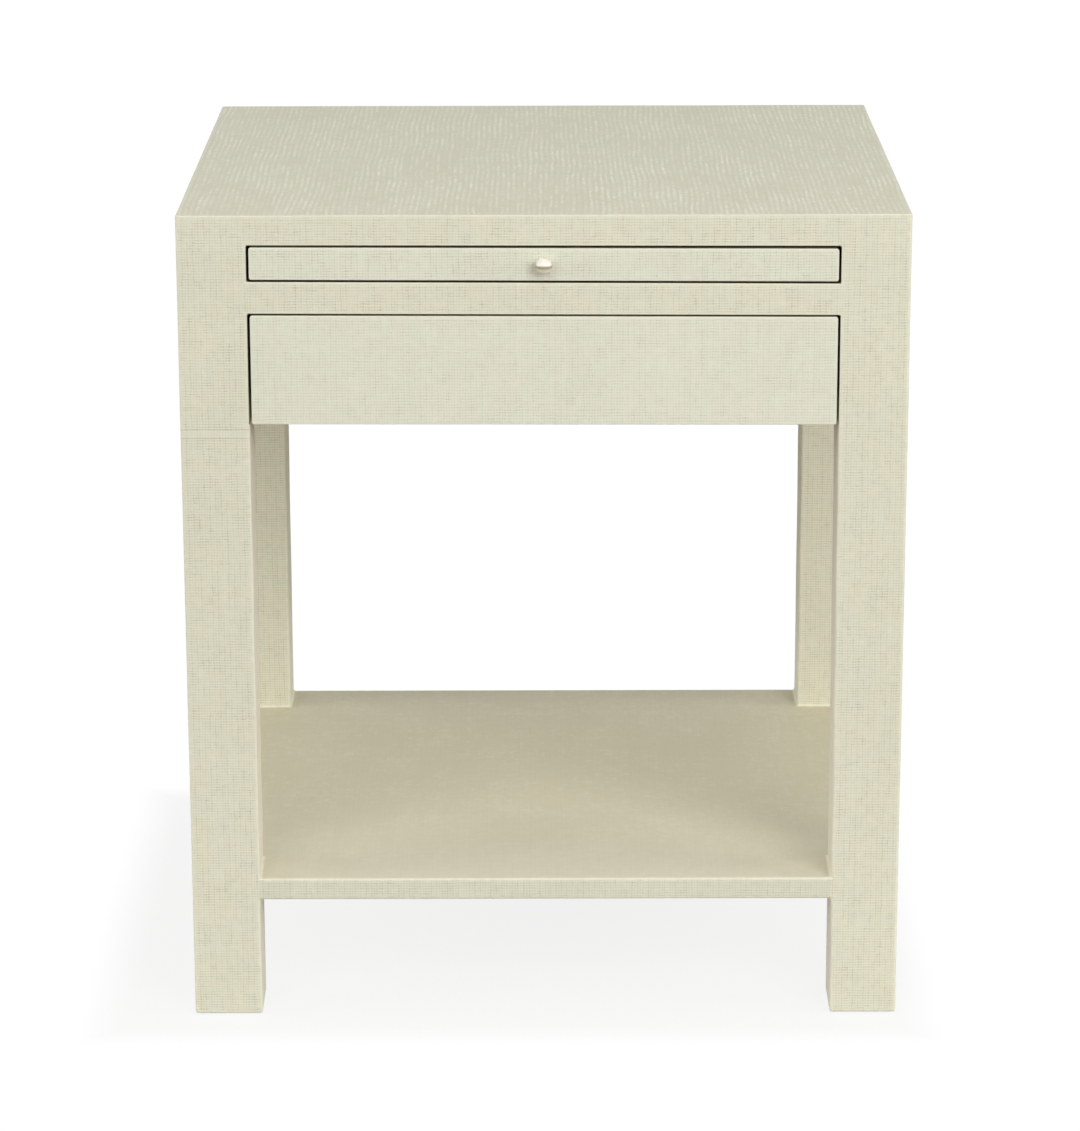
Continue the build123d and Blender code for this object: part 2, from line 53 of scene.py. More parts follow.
class Value:
    # A number on the surface. Operators add the Math nodes that work it out.
    def __init__(self, finish, socket):
        self.finish = finish
        self.socket = socket

    def math(self, operation, *others, clamp=False):
        inputs = {i: v for i, v in enumerate((self,) + others)}
        return self.finish.node("ShaderNodeMath", {"operation": operation, "use_clamp": clamp}, inputs)

    def __add__(self, other):
        return self.math("ADD", other)

    def __sub__(self, other):
        return self.math("SUBTRACT", other)

    def __mul__(self, other):
        return self.math("MULTIPLY", other)

    def __truediv__(self, other):
        return self.math("DIVIDE", other)

    def __pow__(self, other):
        return self.math("POWER", other)

    def __neg__(self):
        return self.math("MULTIPLY", -1)

    def __rsub__(self, other):
        return -self + other

    __radd__ = __add__
    __rmul__ = __mul__

    def sin(self):
        return self.math("SINE")

    def abs(self):
        return self.math("ABSOLUTE")

    def floor(self):
        return self.math("FLOOR")

    def fraction(self):
        return self.math("FRACT")

    def above(self, limit):
        return self.math("GREATER_THAN", limit)

    def greatest(self, other):
        return self.math("MAXIMUM", other)

    def clamped(self):
        return self.math("ADD", 0, clamp=True)

    def ramp(self, low, high):
        # 0 below low, 1 above high, smooth between
        return self.finish.node("ShaderNodeMapRange", {"interpolation_type": "SMOOTHSTEP"},
                                {"Value": self, "From Min": low, "From Max": high})


class Finish:
    # One material, or the world's surface. node() adds any node: its type, its settings, then its sockets by
    # name or number.
    def __init__(self, name, world=None):
        self.material = world or bpy.data.materials.new(name)
        self.material.use_nodes = True
        self.tree = self.material.node_tree
        self.surface = self.tree.nodes["Background" if world else "Principled BSDF"]

    def set(self, node, sockets):
        for key, value in sockets.items():
            socket = node.inputs[key]
            if isinstance(value, Value):
                self.tree.links.new(value.socket, socket)
            else:
                socket.default_value = value

    def node(self, kind, settings, sockets, output=0):
        made = self.tree.nodes.new(kind)
        for key, value in settings.items():
            setattr(made, key, value)
        self.set(made, sockets)
        return Value(self, made.outputs[output])

    def mix(self, factor, first, second):
        settings = {"data_type": "RGBA", "blend_type": "MIX", "clamp_factor": True}
        return self.node("ShaderNodeMix", settings, {0: factor, 6: first, 7: second}, output=2)

    def place(self):
        # Object coordinates in millimetres
        coordinates = self.node("ShaderNodeTexCoord", {}, {}, output="Object")
        return self.node("ShaderNodeVectorMath", {"operation": "SCALE"}, {0: coordinates, "Scale": 1 / mm})

    def parts(self, vector):
        split = self.node("ShaderNodeSeparateXYZ", {}, {0: vector}).socket.node
        return [Value(self, out) for out in split.outputs]

    def join(self, x, y, z):
        return self.node("ShaderNodeCombineXYZ", {}, {0: x, 1: y, 2: z})

    def stretch(self, vector, scale):
        return self.node("ShaderNodeVectorMath", {"operation": "MULTIPLY"}, {0: vector, 1: scale})

    def noise(self, vector, size, detail=2.0, roughness=0.5):
        # Smooth noise about 0.5, with lumps of the given size in millimetres
        return self.node("ShaderNodeTexNoise", {"noise_dimensions": "3D"},
                         {"Vector": vector, "Scale": 1 / size, "Detail": detail, "Roughness": roughness})

    def chance(self, vector):
        # A different steady number for each place, from 0 to 1
        return self.node("ShaderNodeTexWhiteNoise", {"noise_dimensions": "3D"}, {"Vector": vector})

    def bump(self, height, distance):
        return self.node("ShaderNodeBump", {}, {"Height": height, "Distance": distance, "Strength": 1.0})

    def normal(self):
        # The object's normal as its x, y and z
        return self.parts(self.node("ShaderNodeTexCoord", {}, {}, output="Normal"))

    def dress(self, sockets):
        self.set(self.surface, sockets)
        return self.material


# sRGB values out of 255 as a linear colour
def colour(red, green, blue):
    linear = [v / 255 / 12.92 if v <= 10 else ((v / 255 + 0.055) / 1.055) ** 2.4 for v in (red, green, blue)]
    return (*linear, 1.0)


black = colour(0, 0, 0)
# Tones are sRGB out of 255, lengths and depths of fades are in mm
# The top's and the shelf's tones are painted shade, the pale tone for the front legs' inner faces is painted
# light, and the pore tone is painted shade in the recesses
clothLook = {
    "face": (220, 219, 199), "warm": (222, 218, 196), "pale": (236, 234, 215), "dark": (203, 200, 176),
    "topShade": (208, 207, 182), "topShadeWarm": (210, 206, 184), "topDepth": 6.0,
    "shelfEdgeShade": (215, 213, 193), "shelfNearShade": (221, 216, 193), "shelfFarShade": (205, 200, 173),
    "innerLegLightTone": (238, 230, 212), "innerLegLightShare": 0.75, "innerLegLightDepth": 60.0, "shelfFade": 260.0, "pore": (146, 135, 103),
    "creaseHeights": (490.6, 483.7), "creaseShadeAmount": 0.3, "facing": 0.72,
    "threadWide": 2.19, "threadHigh": 2.22, "wobble": 0.8, "topWave": 3.6,
    "rowDepth": 0.2, "columnDepth": 0.05, "poreDepth": 0.42, "topLineSheen": 0.85,
    "speck": (70, 60, 40), "speckPitch": 13.0, "speckSize": (0.02, 0.055), "speckAmount": 0.0,
    "roughness": 0.48, "bumpHeight": 0.14,
}
trayChange = {"face": (222, 223, 204), "warm": (222, 221, 202), "speckAmount": 0.05}
drawerChange = {"face": (222, 223, 204), "warm": (223, 221, 203), "threadHigh": 2.31, "rowDepth": 0.14,
                "columnDepth": 0.03, "poreDepth": 0.24}


# Cloth under lacquer. Faces that look along x, y or z take their threads from the other two coordinates.
# Each thread is half a sine high across its width, over and under in turn. Furrows lie between the threads,
# deeper at every second standing one, and pores where furrows cross; they dent the bump, and their dark tone
# is painted shade. Noise fills patches of them with lacquer and breaks the lying furrows into dashes. Two
# creases across the left front leg are painted shade only. The top's darker tone and the shelf's darker edges
# and top, which darken from near to far, are painted shade; the front legs' inner faces are smoother and
# paler, painted light; the thread crowns and the rim are paler, painted highlight; and pale dashed lines run
# back over the top, raised in the bump and paler as a painted sheen.
def clothFinish(name, look):
    cloth = Finish(name)
    place = cloth.place()
    normal = cloth.normal()
    facesSide, facesUp = [normal[axis].abs().above(look["facing"]) for axis in (0, 2)]
    x, y, z = cloth.parts(place)
    onTop = facesUp * z.above(topBox[1, 2] - look["topDepth"])
    across = x + (y - x) * facesSide
    along = z + (y - z) * facesUp
    sway = cloth.noise(cloth.stretch(place, (1.0, 0.45, 0.6)), 23, 2.0) - 0.5
    drift = cloth.noise(cloth.stretch(place, (0.6, 0.6, 1.0)), 26, 2.0) - 0.5
    lean = cloth.noise(cloth.stretch(place, (1.0, 0.34, 1.0)), 46, 1.0) - 0.5
    slip = cloth.noise(place, 5.5, 2.0, 0.6) - 0.5
    u = (across + sway * (2 * look["wobble"]) + lean * facesUp * (2 * look["topWave"])
         + slip * (1.9 - 0.9 * facesUp))
    v = along + drift * (2 * look["wobble"]) + slip * 1.1
    columnAt = u * (1 / look["threadWide"])
    rowAt = v * (1 / look["threadHigh"])
    columnNumber = columnAt.floor()
    rowNumber = rowAt.floor()
    nub = cloth.chance(cloth.join(columnNumber, rowNumber, 3.0))
    rowNub = cloth.chance(cloth.join(0.0, rowNumber, 7.0))
    columnNub = cloth.chance(cloth.join(columnNumber, 0.0, 11.0))
    warp = (columnAt * math.pi).sin().abs()
    weft = (rowAt * math.pi).sin().abs()
    second = (columnAt * (math.pi / 2)).sin().abs()
    # over is 1 where the lying thread is on top
    over = ((columnNumber + rowNumber) * 0.5).fraction().above(0.25)
    lying = weft ** 0.55 * warp ** 0.3
    standing = warp ** 0.55 * weft ** 0.3
    weave = standing + (lying - standing) * over
    patch = cloth.noise(cloth.stretch(place, (1.0, 1.0, 0.8)), 9.0, 3.0, 0.65).ramp(0.3, 0.68)
    band = cloth.noise(cloth.stretch(place, (1.0, 1.0, 0.15)), 3.5, 2.0, 0.6).ramp(0.3, 0.7)
    rim = cloth.node("ShaderNodeAttribute", {"attribute_name": "rim"}, {}, output="Fac")
    # the rim is smoother, with less weave, and paler in the tone below: a painted highlight
    edge = (rim + (cloth.noise(place, 6.0, 1.0) - 0.5) * 0.35).ramp(0.3, 0.85)
    openShare = (0.45 + 0.55 * patch) * (1 - edge * 0.92)
    dashes = cloth.noise(cloth.stretch(place, (0.22, 0.22, 1.0)), 2.4, 2.0, 0.6).ramp(0.32, 0.68)
    loose = 0.3 + 1.4 * nub
    deeper = (1 - second).ramp(0.3, 1.0)
    rowFurrow = (1 - weft) ** 1.1 * loose * (0.55 + 0.9 * dashes)
    columnFurrow = (1 - warp) ** 1.1 * (0.3 + 1.1 * deeper) * (0.4 + 1.2 * band)
    pore = (1 - weft) ** 0.9 * (1 - warp) ** 0.9 * (0.45 + 0.55 * deeper) * loose
    furrows = (rowFurrow * (look["rowDepth"] * (0.7 + 0.6 * rowNub)) + columnFurrow * look["columnDepth"]
               + pore * look["poreDepth"] * (0.5 + 0.8 * band))
    # painted shade of two creases across the left front leg, with less painted furrow shade between them
    upper, lower = look["creaseHeights"]
    bend = (cloth.noise(place, 20.0, 1.0) - 0.5) * 1.5
    onLeg = (1 - (x + openingHalf - 1.5).above(0.0)) * (1 - (y - frontY - 3).above(0.0)) * (1 - facesUp)
    upperCrease = 1 - ((z + bend - upper).abs() * 1.6).clamped()
    lowerCrease = 1 - ((z - bend - lower).abs() * 1.6).clamped()
    creaseShade = upperCrease.greatest(lowerCrease) * onLeg * look["creaseShadeAmount"]
    flatter = (1 - ((z - (upper + lower) / 2).abs() / ((upper - lower) / 2)).ramp(0.7, 1.0)) * onLeg
    recessShade = (furrows * openShare * (1 - facesUp * 0.72) * (1 - flatter * 0.7) + creaseShade).math("MINIMUM", 1.0)
    # raised threads that run front to back on the top, in dashes: raised in the bump, and paler as a painted
    # sheen
    field = cloth.noise(cloth.stretch(place, (1.0, 0.4, 1.0)), 40.0, 2.0, 0.6).ramp(0.38, 0.62)
    dash = cloth.noise(cloth.stretch(place, (1.0, 0.12, 1.0)), 5.0, 2.0, 0.6).ramp(0.42, 0.6)
    fineDash = cloth.noise(cloth.stretch(place, (1.0, 0.2, 1.0)), 1.7, 1.0).ramp(0.32, 0.7)
    ridge = second.ramp(0.7, 1.0) * 0.95 + warp.ramp(0.6, 1.0) * 0.15
    line = ridge * (0.1 + 0.4 * field + 0.75 * dash) * (0.3 + 0.8 * fineDash) * onTop * (1 - edge)
    mottle = cloth.noise(place, 6.0, 3.0, 0.6) - 0.5
    cloud = cloth.noise(place, 60.0, 2.0) - 0.5
    tint = cloth.noise(place, 15.0, 2.0).ramp(0.3, 0.7)
    tone = {key: colour(*look[key]) for key in look if np.size(look[key]) == 3}
    base = cloth.mix(tint, tone["face"], tone["warm"])
    # the top's darker, greener tone is painted shade
    base = cloth.mix(onTop, base, cloth.mix(tint, tone["topShade"], tone["topShadeWarm"]))
    # the shelf's edge faces and its top, darker from near to far, take painted shade
    onShelf = (1 - z.above(boxOf["lower_shelf"][1, 2] + 1)) * z.above(shelfFoot - 1)
    base = cloth.mix(onShelf * (1 - facesUp) * (1 - x.abs().above(openingHalf)), base, tone["shelfEdgeShade"])
    shelfTopShade = cloth.mix((y - frontY).ramp(0.0, look["shelfFade"]), tone["shelfNearShade"], tone["shelfFarShade"])
    base = cloth.mix(onShelf * facesUp, base, shelfTopShade)
    # the front legs' inner faces below the case are smoother, with less painted furrow shade, and take a paler
    # tone: painted light
    innerLegLightMask = (facesSide * (1 - z.above(caseFoot - 1)) * (1 - x.abs().above(openingHalf + 2))
                * (1 - (y - frontY).above(look["innerLegLightDepth"])))
    base = cloth.mix(innerLegLightMask * look["innerLegLightShare"], base, tone["innerLegLightTone"])
    recessShade = recessShade * (1 - innerLegLightMask * 0.8)
    threads = (rowNub - 0.5) * 0.3 + (columnNub - 0.5) * 0.25 + (nub - 0.5) * 0.5
    # paler thread crowns are a painted highlight
    crownHighlight = (weave - 0.55) * 0.5 * openShare * (1 - facesUp * 0.8)
    light = (threads * 0.5 * (1 - facesUp * 0.35) + crownHighlight + mottle * 0.9 + cloud * 0.45 + edge * 0.14
             + line * look["topLineSheen"])
    base = cloth.mix((light * 0.9).clamped(), base, tone["pale"])
    base = cloth.mix((light * -0.7).clamped(), base, tone["dark"])
    # the pore tone paints shade into the furrows, pores and creases
    base = cloth.mix(recessShade, base, tone["pore"])
    if look["speckAmount"]:
        spots, cell = [cloth.node("ShaderNodeTexVoronoi", {"feature": "F1"},
                                  {"Vector": place, "Scale": 1 / look["speckPitch"]}, output=output)
                       for output in ("Distance", "Position")]
        speck = (1 - spots.ramp(*look["speckSize"])) * cloth.chance(cell).above(1 - look["speckAmount"])
        base = cloth.mix(speck * 0.8, base, tone["speck"])
    height = weave * openShare * 0.8 - furrows * openShare * 0.5 + line * 0.6 + mottle * 0.5
    return cloth.dress({
        "Base Color": base,
        "Roughness": look["roughness"] + (1 - weave) * 0.08 * openShare - edge * 0.06,
        "Normal": cloth.bump(height, look["bumpHeight"] * mm),
        "Specular IOR Level": 0.4,
    })


# Smooth lacquer on bare board: broad noise mixes the shade with a slightly darker one, and fine noise gives
# the orange peel and an uneven sheen
def lacquerFinish(name, shade, roughness):
    lacquer = Finish(name)
    place = lacquer.place()
    orange = lacquer.noise(place, 3.0, 2.0)
    cloud = lacquer.noise(place, 60.0, 2.0)
    dark = lacquer.mix(0.08, colour(*shade), black)
    return lacquer.dress({
        "Base Color": lacquer.mix(cloud, dark, colour(*shade)),
        "Roughness": roughness + (orange - 0.5) * 0.15,
        "Normal": lacquer.bump(orange, 0.05 * mm),
    })


# Dark brown tone in the reveals beside the fronts, painted shade that darkens the gaps: the height above the
# case's foot, shifted by noise, mixes a paler tone below, painted light, with the full shade from 30 mm up
def revealShadeFinish(name, shade, wearAndPaintedLight):
    revealShade = Finish(name)
    place = revealShade.place()
    uneven = revealShade.noise(place, 12.0, 2.0)
    height = revealShade.parts(place)[2] - caseFoot + (uneven - 0.5) * 8
    return revealShade.dress({
        "Base Color": revealShade.mix(height.ramp(2.0, 30.0), colour(*wearAndPaintedLight), colour(*shade)),
        "Roughness": 0.62 + uneven * 0.16,
    })


# Wood: growth rings as bent bands along one axis, with fine pores drawn out the same way. Plywood has layers
# too, by the sign of a sine of the height, on the faces that stand on edge.
def woodFinish(name, pale, dark, grain, ringWidth, roughness, layers=0.0):
    wood = Finish(name)
    place = wood.place()
    along = {"x": (0.05, 1.0, 1.0), "y": (1.0, 0.05, 1.0), "z": (1.0, 1.0, 0.05)}[grain]
    drawn = wood.stretch(place, along)
    bend = wood.noise(drawn, 34.0, 2.0)
    rings = (bend * (90.0 / ringWidth)).fraction()
    figure = rings.ramp(0.0, 0.75) * (1 - rings.ramp(0.75, 1.0))
    fine = wood.noise(wood.stretch(place, [0.03 if c < 1 else 1.0 for c in along]), 0.8, 2.0, 0.7)
    mask = figure * 0.55 + (fine - 0.5) * 0.8 + 0.2
    base = wood.mix(mask.ramp(0.0, 1.0), colour(*pale), colour(*dark))
    if layers:
        ply = (wood.parts(place)[2] * (math.pi / layers)).sin().above(0.0)
        edgeOn = 1 - wood.normal()[2].abs().above(0.7)
        base = wood.mix(ply * edgeOn * 0.55, base, colour(*[c * 0.68 for c in dark]))
    return wood.dress({
        "Base Color": base,
        "Roughness": roughness + (fine - 0.5) * 0.2,
        "Normal": wood.bump(fine * 0.6 + figure * 0.2, 0.06 * mm),
    })


# Rolled steel with its plating: long fine scratches and soft cloudy patches
def steelFinish(name, shade, roughness):
    steel = Finish(name)
    place = steel.place()
    scratch = steel.noise(steel.stretch(place, (1.0, 0.02, 1.0)), 0.5, 3.0, 0.7)
    cloud = steel.noise(place, 9.0, 3.0)
    wearAndPaintedLight = steel.mix(0.22, colour(*shade), black)
    return steel.dress({
        "Base Color": steel.mix(cloud.ramp(0.3, 0.7), wearAndPaintedLight, colour(*shade)),
        "Metallic": 1.0,
        "Roughness": roughness + (scratch - 0.5) * 0.25 + (cloud - 0.5) * 0.12,
        "Normal": steel.bump(scratch, 0.02 * mm),
    })


# Enamel: an even hard coat over a ground that noise dimples slightly. The shade passes into a darker belt, a
# painted core shadow, as the normal's z falls from 0.24 to 0.02, and from the belt into a duller underside
# tone, painted shade lifted by painted reflected light, as it falls from 0 to -0.5.
def enamelFinish(name, shade, undersideShade, coreShadowTone, roughness):
    enamel = Finish(name)
    place = enamel.place()
    dimple = enamel.noise(place, 2.2, 1.0)
    up = enamel.normal()[2]
    lower = 1 - up.ramp(-0.5, 0.0)
    coreShadowShare = 1 - up.ramp(0.02, 0.24)
    base = enamel.mix(coreShadowShare, colour(*shade), colour(*coreShadowTone))
    base = enamel.mix(lower, base, colour(*undersideShade))
    return enamel.dress({
        "Base Color": enamel.mix(dimple.ramp(0.3, 0.75) * 0.06, base, colour(190, 170, 140)),
        "Roughness": roughness + (dimple - 0.5) * 0.08,
        "Normal": enamel.bump(dimple, 0.03 * mm),
        "Coat Weight": 0.35,
        "Coat Roughness": 0.12,
    })


# Moulded nylon or rubber: noise scuffs the shade a little darker, and fine even grain roughens it
def mouldedFinish(name, shade, roughness):
    moulded = Finish(name)
    place = moulded.place()
    grain = moulded.noise(place, 0.7, 2.0)
    scuff = moulded.noise(place, 5.0, 2.0)
    dark = moulded.mix(0.12, colour(*shade), black)
    return moulded.dress({
        "Base Color": moulded.mix(scuff, dark, colour(*shade)),
        "Roughness": roughness + (grain - 0.5) * 0.15,
        "Normal": moulded.bump(grain, 0.04 * mm),
    })


cloth = clothFinish("lacqueredCloth", clothLook)
trayCloth = clothFinish("lacqueredClothTray", {**clothLook, **trayChange})
drawerCloth = clothFinish("lacqueredClothDrawer", {**clothLook, **drawerChange})
innerLacquer = lacquerFinish("innerLacquer", (222, 218, 198), 0.5)
# dark reveals beside the fronts: painted shade, paler at the foot as painted light
revealPaintedShade = revealShadeFinish("revealPaintedShade", (78, 66, 36), (150, 142, 112))
# darker tone for the fronts' top and foot edges: painted shade that darkens the gaps
frontEdgeShade = lacquerFinish("frontEdgeShade", (168, 155, 124), 0.65)
finishOfSlot = {
    "lacquered_linen_board": cloth,
    "plain_wood": woodFinish("plainWood", (214, 184, 140), (180, 142, 96), "y", 4.0, 0.62),
    "plywood": woodFinish("plywood", (222, 196, 154), (196, 162, 114), "x", 6.0, 0.6, layers=1.5),
    "drawer_wood": woodFinish("drawerWood", (226, 202, 164), (198, 168, 122), "y", 4.5, 0.42),
    "slide_steel": steelFinish("slideSteel", (196, 198, 200), 0.34),
    "ball_steel": steelFinish("ballSteel", (216, 217, 219), 0.22),
    # the knob's darker belt and underside tones are painted shade
    "knob_paint": enamelFinish("knobPaint", (233, 228, 213), (228, 219, 199), (160, 150, 124), 0.26),
    "glide_nylon": mouldedFinish("glideNylon", (226, 223, 212), 0.5),
    "bumper_rubber": mouldedFinish("bumperRubber", (44, 43, 42), 0.75),
}
crossWood = woodFinish("drawerWoodAcross", (226, 202, 164), (198, 168, 122), "x", 4.5, 0.42)
print("finishes made")


# Quads between rows of points, where each row closes in a ring
def ringQuads(rows, count):
    ring = np.arange(count)
    after = np.roll(ring, -1)
    start = np.arange(rows - 1)[:, None] * count
    corners = [start + ring, start + after, start + count + after, start + count + ring]
    return np.stack(corners, -1).reshape(-1, 4)


# Points in millimetres and faces as arrays, made into a smooth-shaded piece that rides a body
def makePiece(name, points, faces, materials, body, faceMaterial=None, rim=None):
    mesh = bpy.data.meshes.new(name)
    mesh.from_pydata((points * mm).tolist(), [], [list(f) for f in faces])
    for material in materials:
        mesh.materials.append(material)
    if faceMaterial is not None:
        mesh.polygons.foreach_set("material_index", faceMaterial.astype(np.int32))
    if rim is not None:
        mesh.attributes.new("rim", "FLOAT", "POINT").data.foreach_set("value", rim.astype(np.float32))
    mesh.polygons.foreach_set("use_smooth", np.ones(len(mesh.polygons), bool))
    mesh.update()
    piece = bpy.data.objects.new(name, mesh)
    bpy.context.scene.collection.objects.link(piece)
    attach(piece, body)
    return piece


# Rounds the real edges, where two faces turn by more than about 60 degrees. share() gives the part of the
# full width that an edge takes, from its middle point and its direction.
def softenEdges(piece, width, share):
    mesh = piece.data
    ends = np.empty(len(mesh.edges) * 2, np.int32)
    mesh.edges.foreach_get("vertices", ends)
    places = np.empty(len(mesh.vertices) * 3)
    mesh.vertices.foreach_get("co", places)
    normals = np.empty(len(mesh.polygons) * 3)
    mesh.polygons.foreach_get("normal", normals)
    sides = np.empty(len(mesh.polygons), np.int32)
    mesh.polygons.foreach_get("loop_total", sides)
    loopEdges = np.empty(len(mesh.loops), np.int32)
    mesh.loops.foreach_get("edge_index", loopEdges)
    faceOfLoop = np.repeat(np.arange(len(sides)), sides)
    both = np.zeros((len(mesh.edges), 3))
    np.add.at(both, loopEdges, normals.reshape(-1, 3)[faceOfLoop])
    first, second = places.reshape(-1, 3)[ends.reshape(-1, 2)].transpose(1, 0, 2) / mm
    sharpSum = 1.7  # length of the two normals' sum at an edge, 2 where the faces are level
    sharp = np.linalg.norm(both, axis=1) < sharpSum
    heading = np.abs(second - first)
    weights = sharp * share((first + second) / 2, heading / np.maximum(heading.max(1, keepdims=True), 1e-6))
    weightOfEdge = mesh.attributes.new("bevel_weight_edge", "FLOAT", "EDGE")
    weightOfEdge.data.foreach_set("value", weights.astype(np.float32))
    bevel = piece.modifiers.new("softEdges", "BEVEL")
    bevel.width = width * mm
    bevel.segments = 3
    bevel.limit_method = "WEIGHT"
    bevel.harden_normals = True
    bevel.use_clamp_overlap = False


# Even steps between the given stops, none longer than step, with a narrow band kept beside each stop
def linesBetween(stops, step, band):
    stops = np.unique(np.round(stops, 3))
    lines = [stops[:1]]
    for low, high in zip(stops[:-1], stops[1:]):
        ends = [low + band, high - band] if high - low > 3 * band else [(low + high) / 2]
        if high - low < 2 * band:
            ends = []
        inner = np.array(ends)
        if len(ends) == 2:
            inner = np.linspace(ends[0], ends[1], max(2, int(np.ceil((ends[1] - ends[0]) / step)) + 1))
        lines += [inner, [high]]
    return np.concatenate(lines)


# Skin of a union of boxes. Space is cut along every side of the boxes; a cell is full where its middle lies
# in a box, and the skin is every wall between a full cell and an empty one, facing the empty one.
def unionSkin(boxes, step, band):
    lines = [linesBetween(boxes[:, :, axis].ravel(), step, band) for axis in range(3)]
    middles = [(line[1:] + line[:-1]) / 2 for line in lines]
    full = np.zeros([len(m) for m in middles], bool)
    for low, high in boxes:
        inside = [(m > low[axis]) & (m < high[axis]) for axis, m in enumerate(middles)]
        full |= inside[0][:, None, None] & inside[1][None, :, None] & inside[2][None, None, :]
    padded = np.pad(full, 1)
    corners, axes = [], []
    for axis in range(3):
        first, second = np.eye(3, dtype=int)[[(axis + 1) % 3, (axis + 2) % 3]]
        for side in (0, 1):
            neighbour = np.roll(padded, 1 - 2 * side, axis)
            cells = np.argwhere((padded & ~neighbour)[1:-1, 1:-1, 1:-1])
            cells[:, axis] += side
            loop = [np.zeros(3, int), first, first + second, second]
            corners.append(np.stack([cells + offset for offset in (loop if side else loop[::-1])], 1))
            axes.append(np.full(len(cells), axis))
    corners = np.concatenate(corners)
    axes = np.concatenate(axes)
    shape = [len(line) for line in lines]
    flat = np.ravel_multi_index(np.moveaxis(corners, -1, 0), shape)
    used, faces = np.unique(flat, return_inverse=True)
    faces = faces.reshape(flat.shape)
    index = np.stack(np.unravel_index(used, shape), 1)
    points = np.stack([lines[axis][index[:, axis]] for axis in range(3)], 1)
    touched = np.zeros((len(points), 3), bool)
    touched[faces, axes[:, None]] = True
    rim = (touched.sum(1) > 1).astype(float)
    return points, faces, rim


# Smooth uneven ripple between -1 and 1: three sine waves of different lengths and headings, added
def ripple(a, b, length, shift):
    return (np.sin(2 * np.pi * a / length + shift)
            + np.sin(2 * np.pi * (0.6 * a + 0.8 * b) / (length * 0.63) + 2.1 * shift)
            + np.sin(2 * np.pi * b / (length * 1.37) + 3.7 * shift)) / 3


frameLook = {"step": 12.0, "band": 5.0, "cornerRound": 4.0, "edgeShare": 0.5, "topShare": 0.2,
             "gapShare": 0.2, "uneven": 0.22, "innerUneven": 0.3, "slimFront": 1.0, "slimBack": 0.9,
             "levelFrom": -150.0, "levelOver": 50.0}
frameNodes = ["top_panel", "front_leg_left", "front_leg_right", "back_leg_left", "back_leg_right",
              "side_apron_left", "side_apron_right", "back_apron", "mid_rail", "lower_shelf"]
railBox = np.clip(railBox, [-openingHalf, -far, 0], [openingHalf, far, far])
boxOf["mid_rail"] = railBox

# How far the gap lines run off level, in mm at the opening's middle and per half width, by height
levelHeights = np.array([440.0, caseFoot, railBox[0, 2], railBox[1, 2], topFoot, topBox[1, 2]])
levelMiddle = np.array([0.0, 0.2, -0.4, -0.55, -0.55, 0.0])
levelTilt = np.array([0.0, -0.7, -1.05, -1.15, -0.7, 0.0])


def tiltOf(x, z):
    t = np.clip(x / openingHalf, -1.1, 1.1)
    return np.interp(z, levelHeights, levelMiddle) + np.interp(z, levelHeights, levelTilt) * t


# The frame's skin settles a little: the rail and the top's edge run off level at the front, the faces
# ripple, always inwards, and two legs are a little slimmer, as in the photograph
def settleFrame(points):
    x, y, z = points.T.copy()
    front = np.clip((frameLook["levelFrom"] - y) / frameLook["levelOver"], 0, 1)
    z = z + tiltOf(x, z) * front * (z > levelHeights[0]) * (z < topBox[1, 2] - 1)
    sink = frameLook["uneven"] * 0.5
    low, high = topBox
    xEdge = np.sign(x) * (np.abs(x) > high[0] - 0.01)
    yEdge = (y > high[1] - 0.01) * 1.0 - (y < low[1] + 0.01) * 1.0
    zEdge = (z > high[2] - 0.01) * 1.0
    x = x - xEdge * sink * (1 + ripple(y, z, 170, 1.0))
    y = y - yEdge * sink * (1 + ripple(x, z, 150, 2.0))
    z = z - zEdge * sink * (1 + ripple(x, y, 190, 3.0))
    lowLeg = np.clip((caseFoot - z) / caseFoot, 0, 1)
    inner = np.abs(np.abs(x) - openingHalf) < 0.02
    x = x + inner * (x > 0) * (y < 0) * frameLook["slimFront"] * lowLeg
    x = x - inner * (x < 0) * (y > 0) * frameLook["slimBack"] * np.clip(lowLeg * 8, 0, 1)
    x = x + inner * np.sign(x) * frameLook["innerUneven"] * ripple(z, y, 120, 4.0) * (z < caseFoot - 20)
    return np.stack([x, y, z], 1)


framePoints, frameFaces, frameRim = unionSkin(np.array([boxOf[n] for n in frameNodes]),
                                              frameLook["step"], frameLook["band"])
innerX, innerY = boxOf["side_apron_right"][0, 0], boxOf["back_apron"][0, 1]
slack = 0.1
atX, atY, atZ = framePoints[frameFaces].mean(1).T
besideFronts = (atZ > caseFoot + slack) & (atZ < topFoot + slack)
insideCase = ((np.abs(atX) < innerX + slack) & (atY > railBox[1, 1] - slack) & (atY < innerY + slack)
              & besideFronts)
# The reveals behind the two fronts take a dark brown tone, painted shade that darkens the gaps
reveal = (np.abs(atX) < openingHalf + slack) & (atY > frontY + slack) & (atY < railBox[1, 1]) & besideFronts
wrappedFrame = makePiece("wrappedFrame", settleFrame(framePoints), frameFaces,
                         [cloth, innerLacquer, revealPaintedShade], "case",
                         np.where(reveal, 2, insideCase), frameRim)


# The edges beside the gaps are crisp, the top's a little softer, the inner corners below the shelf are wide
def frameShare(middle, heading):
    x, y, z = middle.T
    look = frameLook
    share = np.full(len(middle), look["edgeShare"])
    share[z > topBox[1, 2] - 1] = look["topShare"]
    inFront = np.abs(y - frontY) < 1
    beside = (np.abs(x) < openingHalf + 1.5) & (z > caseFoot - 1) & (z < topFoot + 2)
    share[inFront & beside] = look["gapShare"]
    share[(np.abs(z - shelfFoot) < 1) & (heading[:, 1] > 0.9) & (np.abs(x) < openingHalf + 2)] = 1.0
    return share


